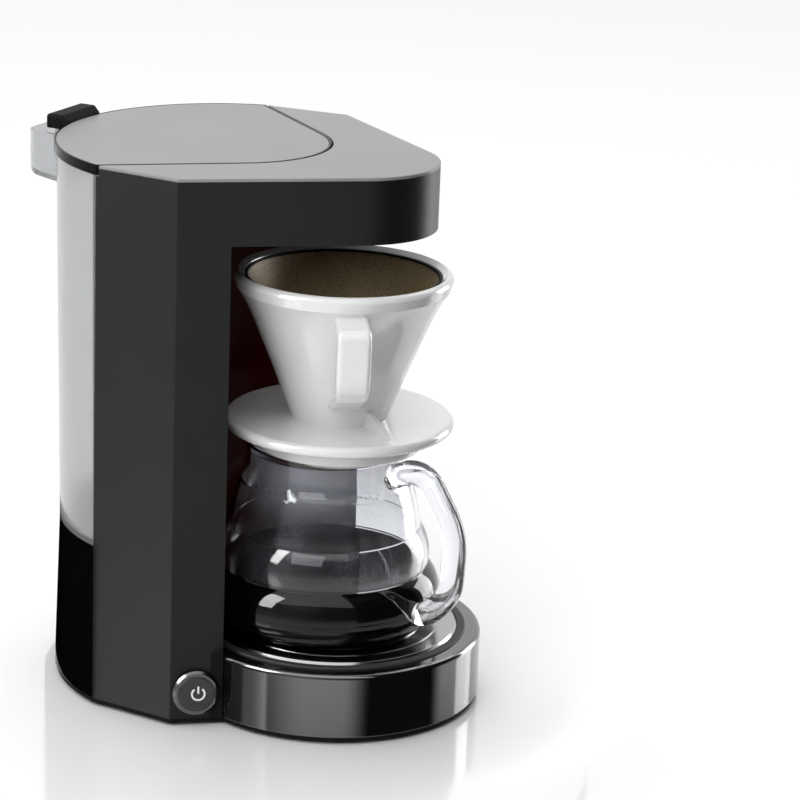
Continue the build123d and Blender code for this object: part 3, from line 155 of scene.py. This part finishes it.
class Finish:
    """One material, built node by node."""

    def __init__(self, name):
        self.material = bpy.data.materials.new(name)
        self.material.use_nodes = True
        self.tree = self.material.node_tree
        self.tree.nodes.clear()
        self.place = self.node("ShaderNodeTexCoord", output="Object")

    def node(self, kind, settings=None, values=None, output=0):
        """Adds a node: settings first, then a value or a wire for each named socket."""
        made = self.tree.nodes.new(kind)
        for name, setting in (settings or {}).items():
            setattr(made, name, setting)
        for name, value in (values or {}).items():
            self.feed(made.inputs[name], value)
        return Wire(self, made.outputs[output])

    def feed(self, socket, value):
        """Links a wire to a socket, or sets the socket to a plain value."""
        if isinstance(value, Wire):
            self.tree.links.new(value.socket, socket)
        elif isinstance(value, tuple) and len(value) == 3 and len(socket.default_value) == 4:
            socket.default_value = (*value, 1)
        else:
            socket.default_value = value

    def mix(self, factor, first, second):
        """Colour that goes from first to second as factor goes from 0 to 1."""
        settings = {"data_type": "RGBA"}
        values = {0: factor, 6: first, 7: second}
        return self.node("ShaderNodeMix", settings, values, output=2)

    def noise(self, size, detail=3.0, place=None):
        """Soft noise between 0 and 1 with blotches about size metres across."""
        values = {"Vector": place or self.place, "Scale": 1 / size, "Detail": detail}
        return self.node("ShaderNodeTexNoise", {}, values, output=0)

    def bump(self, height, depth, normal=None):
        """Normal of a surface raised by height times depth metres."""
        values = {"Height": height, "Distance": depth}
        if normal:
            values["Normal"] = normal
        return self.node("ShaderNodeBump", {}, values, output=0)

    def soft_edges(self, radius):
        """Normal that rounds every sharp edge by radius metres."""
        return self.node("ShaderNodeBevel", {"samples": 6}, {"Radius": radius})

    def surface(self, **sockets):
        """Ends the tree in a Principled shader; socket names are written with underscores."""
        shader = self.tree.nodes.new("ShaderNodeBsdfPrincipled")
        for name, value in sockets.items():
            self.feed(shader.inputs[name.replace("_", " ")], value)
        end = self.tree.nodes.new("ShaderNodeOutputMaterial")
        self.tree.links.new(shader.outputs[0], end.inputs[0])
        return self.material


def dress(material, *nodes):
    """Gives CAD nodes a finish."""
    for node in nodes:
        mesh = frame["nodes"][node].data
        mesh.materials.clear()
        mesh.materials.append(material)


print("finishes are built with Wire and Finish")

# %% [markdown]
# ## Moulded plastics
# The column and head are moulded in charcoal plastic whose tool was spark-eroded: a
# fine even grain that scatters light and leaves only broad, soft reflections. A noise
# of half a millimetre, fed to the bump and a little to the roughness, gives that. The
# gloss parts start from a polished tool instead, so they get a clear coat and nearly no
# grain, only the slight ripple that shows in the reflection of a large moulding.


# %% Charcoal, black and grey mouldings
def moulded(name, colour, roughness, grain, ripple=0.0, coat=0.0, mirror=0.5):
    """A plastic moulding with grain half a millimetre across and rounded edges."""
    finish = Finish(name)
    blotch = finish.noise(40 * mm)
    speck = finish.noise(0.5 * mm, detail=2.0)
    wave = finish.noise(55 * mm, detail=1.0)
    height = speck * grain + wave * ripple
    shade = finish.mix(blotch, tuple(c * 0.88 for c in colour), tuple(c * 1.12 for c in colour))
    return finish.surface(
        Base_Color=shade,
        Roughness=roughness + (blotch - 0.5) * 0.06 + (speck - 0.5) * 0.05,
        Coat_Weight=coat,
        Coat_Roughness=0.04,
        Specular_IOR_Level=mirror,
        Normal=finish.bump(height, 1.0, normal=finish.soft_edges(0.3 * mm)),
    )


charcoal = moulded("charcoal_plastic", (0.0095, 0.0095, 0.0098), 0.38, 0.012 * mm, mirror=0.24)
# The grey of the top plate and lid is partly painted reflection: it stands in for some of the
# white wall that their level tops mirror.
grey_and_painted_reflection = moulded("grey_plastic", (0.25, 0.25, 0.25), 0.34, 0.006 * mm, mirror=0.28)
black_gloss = moulded("black_gloss", (0.002, 0.002, 0.0022), 0.10, 0.0, 0.05 * mm, mirror=0.08)
black_satin = moulded("black_plastic", (0.009, 0.009, 0.009), 0.50, 0.01 * mm, mirror=0.04)
maroon_gloss = moulded("maroon_gloss", (0.034, 0.0018, 0.0013), 0.12, 0.0, 0.05 * mm, mirror=0.02)
dress(charcoal, "front_shell")
dress(grey_and_painted_reflection, "top_plate", "lid_panel")
dress(black_gloss, "rear_shell", "lid_frame")
dress(black_satin, "head_floor", "lid_tab", "bottom_pan", "spray_head", "outlet_elbow")
dress(black_satin, "valve_socket", "tact_switch", "filter_rim")
dress(maroon_gloss, "bay_panel")
print("mouldings dressed")

# %% [markdown]
# The round base is a glossy dark moulding too, but with metal flakes in it, so that it
# mirrors the studio in a soft metallic grey. The hot plate is turned aluminium, whose
# fine rings catch the light as arcs. Rings are a wave of the distance from the brew
# axis, so the maths works on the object's own coordinates.

# %% Base and hot plate
finish = Finish("base_gloss")
flake = finish.noise(0.4 * mm, detail=1.0)
cloud = finish.noise(60 * mm)
base_gloss = finish.surface(
    Base_Color=finish.mix(flake, (0.165, 0.165, 0.167), (0.205, 0.205, 0.207)),
    Metallic=0.95 + cloud * 0.05,
    Roughness=0.07 + flake * 0.06,
    Normal=finish.soft_edges(0.6 * mm),
)
dress(base_gloss, "base_housing")


def distance_from_axis(finish):
    """Distance of a point from the brew axis, in metres."""
    flat = finish.node(
        "ShaderNodeVectorMath",
        {"operation": "MULTIPLY_ADD"},
        {0: finish.place, 1: (1, 1, 0), 2: (-brew, 0, 0)},
    )
    return finish.node("ShaderNodeVectorMath", {"operation": "LENGTH"}, {0: flat}, output="Value")


finish = Finish("plate_metal")
reach = distance_from_axis(finish)
ring = finish.node("ShaderNodeMath", {"operation": "SINE"}, {0: reach * (2 * pi / (1.1 * mm))})
speck = finish.noise(0.6 * mm, detail=2.0)
plate_metal = finish.surface(
    Base_Color=finish.mix(speck, (0.38, 0.38, 0.38), (0.46, 0.46, 0.46)),
    Roughness=0.12 + speck * 0.08,
    Metallic=1.0,
    Normal=finish.bump(ring, 0.006 * mm, normal=finish.soft_edges(0.3 * mm)),
)
dress(plate_metal, "hot_plate")
print("hot plate dressed")

# %% [markdown]
# ## Rubber, metal and the small inner parts
# Most of these stay out of sight, but the tank and the button can be lifted or pressed,
# so they still get a true finish: matte rubber, drawn steel with fine lines along the
# part, raw cast aluminium, milky silicone hose and a green circuit board.


# %% Rubber and metals
def metal(name, colour, roughness, stretch, depth):
    """Bare metal with drawn or cast unevenness; stretch scales the noise along X, Y and Z."""
    finish = Finish(name)
    scaled = finish.node(
        "ShaderNodeVectorMath", {"operation": "MULTIPLY"}, {0: finish.place, 1: stretch}
    )
    line = finish.noise(1.2 * mm, detail=4.0, place=scaled)
    return finish.surface(
        Base_Color=finish.mix(line, tuple(c * 0.8 for c in colour), colour),
        Metallic=1.0,
        Roughness=roughness + (line - 0.5) * 0.15,
        Normal=finish.bump(line, depth, normal=finish.soft_edges(0.2 * mm)),
    )


def soft(name, colour, roughness, transmission=0.0):
    """Rubber or silicone with a faint uneven skin."""
    finish = Finish(name)
    skin = finish.noise(1.5 * mm, detail=4.0)
    return finish.surface(
        Base_Color=finish.mix(skin, tuple(c * 0.8 for c in colour), colour),
        Roughness=roughness + (skin - 0.5) * 0.1,
        Transmission_Weight=transmission,
        Normal=finish.bump(skin, 0.02 * mm),
    )


steel = metal("steel", (0.55, 0.55, 0.56), 0.30, (1, 1, 0.1), 0.004 * mm)
chrome = metal("chrome_trim", (0.16, 0.16, 0.165), 0.20, (1, 1, 0.2), 0.002 * mm)
cast = metal("cast_aluminium", (0.62, 0.62, 0.61), 0.50, (1, 1, 1), 0.05 * mm)
tube_metal = metal("tube_aluminium", (0.68, 0.68, 0.69), 0.28, (0.1, 1, 1), 0.004 * mm)
black_rubber = soft("silicone", (0.02, 0.02, 0.021), 0.6)
hose_rubber = soft("clear_silicone", (0.72, 0.72, 0.69), 0.35, transmission=0.3)
white_plastic = moulded("switch_white", (0.72, 0.71, 0.68), 0.4, 0.01 * mm)
board_green = moulded("board_green", (0.02, 0.12, 0.05), 0.3, 0.02 * mm)
dress(steel, "pan_screws", "heating_element", "heater_bracket", "thermostat", "thermal_fuses")
dress(steel, "hinge_pin", "valve_spring")
dress(chrome, "button_bezel")
dress(cast, "heater_casting")
dress(tube_metal, "water_tube")
dress(black_rubber, "rubber_feet", "plate_gasket", "cord_gland", "spout_seal", "valve_poppet")
dress(hose_rubber, "inlet_hose", "riser_hose")
dress(white_plastic, "switch_plunger", "valve_cage")
dress(board_green, "control_board")
print("inner parts dressed")

# %% [markdown]
# ## The water tank
# The tank is clear styrene with a faint haze, so the light that falls through it makes
# it look pale grey. A transmitting shader with a little roughness does this in one
# step; a thin film of scratches only changes the roughness, which keeps it cheap.

# %% Clear plastic
finish = Finish("clear_plastic")
haze = finish.noise(30 * mm)
scratch = finish.noise(0.8 * mm, detail=2.0)
clear_plastic = finish.surface(
    Base_Color=finish.mix(haze, (0.71, 0.72, 0.73), (0.78, 0.79, 0.80)),
    Roughness=0.14 + haze * 0.06 + scratch * 0.04,
    Transmission_Weight=0.85,
    IOR=1.45,
    Normal=finish.bump(haze, 0.02 * mm),
)
dress(clear_plastic, "water_tank")
print("tank dressed")

# %% [markdown]
# ## The ceramic dripper
# Glazed porcelain is white clay under a thin glass coat. The coat gives sharp small
# highlights on top of a soft white body, so the shader keeps them apart: a rough base
# with some light passing into it, and a smooth coat that follows the slight unevenness
# that glaze has where it ran.

# %% Porcelain glaze
finish = Finish("white_ceramic")
run = finish.noise(18 * mm, detail=1.0)
cloud = finish.noise(45 * mm)
glaze_flow = finish.bump(run, 0.25 * mm)
white_ceramic = finish.surface(
    Base_Color=finish.mix(cloud, (0.77, 0.77, 0.765), (0.84, 0.84, 0.84)),
    Roughness=0.22 + cloud * 0.05,
    Subsurface_Weight=0.12,
    Subsurface_Radius=(0.004, 0.004, 0.004),
    Coat_Weight=0.9,
    Coat_Roughness=0.03,
    Normal=glaze_flow,
)
dress(white_ceramic, "dripper", "dripper_handle")
print("porcelain dressed")

# %% [markdown]
# ## The filter
# The cone is etched from thin metal sheet with a gold-brown coat. Its holes are finer
# than a pixel, so they show only as a sparkle: tiny cells that change colour and height.

# %% Etched filter cone
finish = Finish("filter_mesh")
cell = finish.node(
    "ShaderNodeTexVoronoi", {}, {"Vector": finish.place, "Scale": 1 / (0.7 * mm)}, output=0
)
hole = cell.smooth(0.15, 0.45)
cloud = finish.noise(15 * mm)
bronze = finish.mix(cloud, (0.30, 0.23, 0.13), (0.42, 0.33, 0.19))
filter_mesh = finish.surface(
    Base_Color=finish.mix(hole, (0.05, 0.04, 0.025), bronze),
    Metallic=0.2,
    Roughness=0.45 + cloud * 0.1,
    Normal=finish.bump(hole, 0.05 * mm),
)
dress(filter_mesh, "filter_cone")
print("filter dressed")

# %% [markdown]
# ## The glass server
# Lamp-worked glass is clear and thin, and its smooth bulges bend what stands behind it.
# A plain glass shader with a trace of blue does it. The walls are the frame's own
# solids, because light has to enter and leave through both faces of a closed wall.

# %% Server glass
finish = Finish("server_glass")
wave = finish.noise(25 * mm, detail=1.0)
server_glass = finish.surface(
    Base_Color=finish.mix(wave, (0.945, 0.955, 0.985), (0.97, 0.978, 0.998)),
    Roughness=0.0,
    Transmission_Weight=1.0,
    IOR=1.42,
    Normal=finish.bump(wave, 0.15 * mm),
)
dress(server_glass, "server_glass", "server_handle")
print("glass dressed")

# %% [markdown]
# ## The drink and the mist over it
# Coffee in the server reads as nearly black. Its body follows the inside of the bulges,
# so both it and the mist come from one outline of that inner wall, turned round the
# server's own upright axis. Turning an outline is done once here in a small helper,
# because the same step makes both pieces.


# %% Round pieces from an outline
def lathe(name, outline, segments=96):
    """Turns (radius, height) points, in metres, about the middle of the server."""
    mesh = bmesh.new()
    rings = []
    for radius, height in outline:
        ring = []
        for step in range(segments):
            angle = 2 * pi * step / segments
            x = server_middle + radius * cos(angle)
            ring.append(mesh.verts.new((x, radius * sin(angle), height)))
        rings.append(ring)
    for lower, upper in zip(rings, rings[1:]):
        for step in range(segments):
            after = (step + 1) % segments
            mesh.faces.new((lower[step], lower[after], upper[after], upper[step]))
    data = bpy.data.meshes.new(name)
    mesh.normal_update()
    mesh.to_mesh(data)
    mesh.free()
    data.shade_smooth()
    made = bpy.data.objects.new(name, data)
    bpy.context.scene.collection.objects.link(made)
    return made


def inside_radius(height):
    """Inner radius of the server's glass at a height, found by a ray from its middle."""
    glass = frame["nodes"]["server_glass"]
    start = Vector((server_middle, 0, height))
    hit, place, facing, index = glass.ray_cast(start, Vector((0, 1, 0)))
    return place.y


print("inside radius at 77 mm:", round(inside_radius(77 * mm) / mm, 1))

# %% Coffee
drink_level = 71 * mm
wetting = 0.1 * mm  # into the wall, since wet glass has no inner reflection
gap = 0.15 * mm
pole = 0.1 * mm  # radius where an outline starts and ends
meniscus_width = 1.5 * mm
meniscus_height = 0.5 * mm
server_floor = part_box("server_glass")[0].z + 2 * mm
wall_start = server_floor + 2 * mm
steps = 18
outline = [(pole, server_floor + gap)]
for step in range(steps + 1):
    height = wall_start + (drink_level - wall_start) * step / steps
    outline.append((inside_radius(height) + wetting, height))
outline.append((outline[-1][0] - meniscus_width, drink_level - meniscus_height))
outline.append((pole, drink_level - meniscus_height))
coffee = lathe("coffee", outline)

finish = Finish("coffee_liquid")
swirl = finish.noise(20 * mm)
coffee.data.materials.append(
    finish.surface(
        Base_Color=finish.mix(swirl, (0.0030, 0.0024, 0.0030), (0.0050, 0.0040, 0.0050)),
        Roughness=0.03 + swirl * 0.02,
        Specular_IOR_Level=0.02,
    )
)
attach(coffee, "server")
print("coffee stands", round((drink_level - plate_top) / mm), "mm over the hot plate")

# %% Mist on the glass over the coffee
mist_top = 134 * mm
outline = []
for step in range(steps + 1):
    height = drink_level + gap + (mist_top - drink_level) * step / steps
    outline.append((inside_radius(height) - gap, height))
mist = lathe("mist", outline)

finish = Finish("mist_drops")
drop = finish.node(
    "ShaderNodeTexVoronoi", {}, {"Vector": finish.place, "Scale": 1 / (1.6 * mm)}, output=0
)
patch = finish.noise(22 * mm, detail=4.0)
cover = patch.smooth(0.38, 0.70)
bead = 1 - drop.smooth(0.15, 0.6)
height = finish.node("ShaderNodeSeparateXYZ", {}, {0: finish.place}, output=2)
# The mist gets denser towards the top. This is partly the condensation that gathers there, and
# partly painted light that lifts the neck, which the dripper shades.
thicker_and_lighter_up = height.smooth(100 * mm, 134 * mm)
mist.data.materials.append(
    finish.surface(
        Base_Color=finish.mix(patch, (0.54, 0.55, 0.60), (0.62, 0.63, 0.68)),
        Roughness=0.35 + patch * 0.1,
        Specular_IOR_Level=0.1,
        Alpha=0.04 + thicker_and_lighter_up * 0.44 + cover * (bead * 0.08 + 0.03),
        Normal=finish.bump(bead, 0.2 * mm),
    )
)
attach(mist, "server")
print("mist from", round(drink_level / mm), "to", round(mist_top / mm), "mm")

# %% [markdown]
# ## The button's sign
# The cap carries the usual power sign, a ring open at the top with a short bar in the
# gap, printed in light ink. It is a flat piece a hair over the cap, built in the cap's
# own plane and ridden by the button, so it moves in when the button is pressed.

# %% Power sign
cap_low, cap_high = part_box("button_cap")
cap_along = Vector((0, 0, 1)).cross(button_out).normalized()
cap_face = max(v.co.dot(button_out) for v in frame["nodes"]["button_cap"].data.vertices)
sign_lift = 0.04 * mm  # over the cap
cap_middle = middle("button_cap")
cap_middle = cap_middle + button_out * (cap_face + sign_lift - cap_middle.dot(button_out))


def sign_point(x, y):
    """A place on the cap, from its middle."""
    return cap_middle + cap_along * x + Vector((0, 0, y))


def ring_point(radius, angle):
    """A place on the cap, from its middle, by radius and angle."""
    return sign_point(radius * cos(angle), radius * sin(angle))


ring_radius = 3.3 * mm
stroke = 0.5 * mm  # half the width of a line
gap_angle = radians(38)
bar_low = 0.2 * mm
bar_high = 4.2 * mm
mesh = bmesh.new()
arc = []
arc_steps = 40
for step in range(arc_steps + 1):
    angle = pi / 2 + gap_angle + (2 * pi - 2 * gap_angle) * step / arc_steps
    inner = ring_point(ring_radius - stroke, angle)
    outer = ring_point(ring_radius + stroke, angle)
    arc.append((mesh.verts.new(inner), mesh.verts.new(outer)))
for first, second in zip(arc, arc[1:]):
    mesh.faces.new((first[0], first[1], second[1], second[0]))
bar = [(-stroke, bar_low), (stroke, bar_low), (stroke, bar_high), (-stroke, bar_high)]
mesh.faces.new([mesh.verts.new(sign_point(x, y)) for x, y in bar])
mesh.normal_update()
for face in mesh.faces:
    if face.normal.dot(button_out) < 0:
        face.normal_flip()
data = bpy.data.meshes.new("power_sign")
mesh.to_mesh(data)
mesh.free()
power_sign = bpy.data.objects.new("power_sign", data)
bpy.context.scene.collection.objects.link(power_sign)

finish = Finish("sign_ink")
speck = finish.noise(0.3 * mm)
data.materials.append(
    finish.surface(
        Base_Color=finish.mix(speck, (0.80, 0.80, 0.80), (0.9, 0.9, 0.9)),
        Roughness=0.4 + speck * 0.1,
    )
)
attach(power_sign, "button")

finish = Finish("cap_grey")
speck = finish.noise(0.4 * mm)
dress(
    finish.surface(
        Base_Color=finish.mix(speck, (0.022, 0.022, 0.023), (0.034, 0.034, 0.036)),
        Roughness=0.28 + speck * 0.08,
        Normal=finish.bump(speck, 0.006 * mm, normal=finish.soft_edges(0.3 * mm)),
    ),
    "button_cap",
)
print("power sign is", round(2 * (ring_radius + stroke) / mm, 1), "mm across")

# %% [markdown]
# ## Floor and lights
# The floor is a wide pale sheet with some polish, so the machine stands in a faint
# reflection. A large softbox overhead lights the tops, and a wide one in front fills in
# without showing in gloss. Two more do the opposite, they light nothing and only show in
# gloss: a window at the left marks the glass, a strip at the right rear rims the head.

# %% Floor
mesh = bmesh.new()
half_floor = 9.0
floor_level = -0.3 * mm
for across, along in ((-1, -1), (1, -1), (1, 1), (-1, 1)):
    mesh.verts.new((across * half_floor, along * half_floor, floor_level))
mesh.faces.new(mesh.verts)
data = bpy.data.meshes.new("floor")
mesh.to_mesh(data)
mesh.free()
floor = bpy.data.objects.new("floor", data)
bpy.context.scene.collection.objects.link(floor)
finish = Finish("studio_floor")
cloud = finish.noise(0.4)
data.materials.append(
    finish.surface(
        Base_Color=finish.mix(cloud, (0.90, 0.90, 0.90), (0.92, 0.92, 0.92)),
        Roughness=0.10 + cloud * 0.04,
        Specular_IOR_Level=0.8,
        Coat_Weight=0.5,
        Coat_Roughness=0.06,
    )
)
print("floor laid")


# %% Lights
aim = Vector((0, 0, 0.15))  # half way up the machine


def direction(turn, height):
    """Unit vector towards a turn about the machine and a height angle, in degrees."""
    a, e = radians(turn), radians(height)
    return Vector((sin(a) * cos(e), -cos(a) * cos(e), sin(e)))


def softbox(name, turn, height, distance, width, tall, power):
    """A rectangular light in a direction from the machine, facing it."""
    light = bpy.data.lights.new(name, "AREA")
    light.shape = "RECTANGLE"
    light.size = width
    light.size_y = tall
    light.energy = power
    made = bpy.data.objects.new(name, light)
    out = direction(turn, height)
    made.location = aim + out * distance
    made.rotation_mode = "QUATERNION"
    made.rotation_quaternion = out.to_track_quat("Z", "Y")
    bpy.context.scene.collection.objects.link(made)
    return made


softbox("overhead", 20, 88, 2.4, 6.0, 6.0, 132)
window = softbox("left_window", -31, 29, 1.4, 0.50, 0.90, 20)
window.visible_diffuse = False
rim = softbox("right_rim", 150, 9, 2.2, 0.9, 1.0, 20)
rim.visible_diffuse = False
fill = softbox("front_fill", 8, 30, 2.6, 1.6, 1.2, 25)
fill.visible_glossy = False

# %% [markdown]
# The air around is the rest of the studio: a white wall behind, which every level face
# mirrors towards the camera, and dim walls elsewhere. `lean` says how far a direction
# points towards another one, and both walls fade out smoothly.


# %% The studio's walls
class Air(Finish):
    """The light that comes from each direction."""

    def __init__(self, name):
        self.world = bpy.data.worlds.new(name)
        self.world.use_nodes = True
        self.tree = self.world.node_tree
        self.tree.nodes.clear()
        self.place = self.node("ShaderNodeTexCoord", output="Generated")

    def lean(self, turn, height):
        """Cosine of the angle to a direction, given as for the lights."""
        settings = {"operation": "DOT_PRODUCT"}
        values = {0: self.place, 1: direction(turn, height)}
        return self.node("ShaderNodeVectorMath", settings, values, output="Value")

    def shine(self, strength):
        """Ends the tree in white light of this strength."""
        light = self.node("ShaderNodeBackground", {}, {"Color": (1, 1, 1), "Strength": strength})
        end = self.tree.nodes.new("ShaderNodeOutputWorld")
        self.tree.links.new(light.socket, end.inputs[0])
        return self.world


air = Air("studio_air")
white_wall = air.lean(-155, 14).smooth(0.35, 0.85)
dark_wall = air.lean(80, 5).smooth(0.1, 0.8)
dim = 0.34
bpy.context.scene.world = air.shine(dim + white_wall * 0.62 - dark_wall * 0.26)
print("white wall behind, dark wall at the right")

# %% [markdown]
# A glossy black or grey piece takes its shape from what it mirrors. Product studios hang
# black cards just outside the view for that. These are curved strips: two low ones close
# to the round base, a tall one at the right, and one beside the black rear housing. The
# camera never sees them and they cast no shadow. Only the tall one also keeps soft light
# off the right side, which gives the white dripper its dark side.


# %% Black cards
def felt(name, x, turns, fades, cover):
    """Black felt that thins out towards both ends of its turn."""
    turn_from, turn_to = turns
    finish = Finish(name)
    nap = finish.noise(1 * mm)
    across = finish.node("ShaderNodeSeparateXYZ", {}, {0: finish.place}, output=0) - x
    along = finish.node("ShaderNodeSeparateXYZ", {}, {0: finish.place}, output=1)
    turn = across.math("ARCTAN2", across, -1 * along)
    start = turn.smooth(radians(turn_from), radians(turn_from + fades[0]))
    end = 1 - turn.smooth(radians(turn_to - fades[1]), radians(turn_to))
    return finish.surface(
        Base_Color=finish.mix(nap, (0.001, 0.001, 0.001), (0.002, 0.002, 0.002)),
        Roughness=0.9 + nap * 0.1,
        Specular_IOR_Level=0.0,
        Alpha=start * end * cover,
    )


def card(name, x, turns, distance, heights, fades=(1, 1), cover=1.0, shades=False):
    """A curved black strip about the upright line at x, fading out over its end degrees."""
    turn_from, turn_to = turns
    mesh = bmesh.new()
    columns = []
    steps = 12
    for step in range(steps + 1):
        turn = radians(turn_from + (turn_to - turn_from) * step / steps)
        across, along = x + sin(turn) * distance, -cos(turn) * distance
        columns.append([mesh.verts.new((across, along, height)) for height in heights])
    for before, after in zip(columns, columns[1:]):
        mesh.faces.new((before[0], after[0], after[1], before[1]))
    data = bpy.data.meshes.new(name)
    mesh.to_mesh(data)
    mesh.free()
    data.materials.append(felt(name, x, turns, fades, cover))
    made = bpy.data.objects.new(name, data)
    bpy.context.scene.collection.objects.link(made)
    made.visible_camera = False
    made.visible_diffuse = shades
    made.visible_transmission = False
    made.visible_shadow = False


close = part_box("base_housing")[1].x - brew + 6 * mm
low = (0, plate_top)
tall = (plate_top, 0.6)
rear_middle = brew - 62.4 * mm  # of the rear housing's round back
rear_reach = 0.10
rear = (0, 87.5 * mm)
card("low_card", brew, (31, 79), close, low, fades=(12, 8))
card("left_card", brew, (-70, 18), close, low, fades=(1, 26), cover=0.92)
card("right_card", brew, (50, 118), close + 55 * mm, tall, fades=(4, 4), shades=True)
card("rear_card", rear_middle, (-150, -20), rear_reach, rear)
print("cards stand from", round(close / mm), "mm from the brew axis")
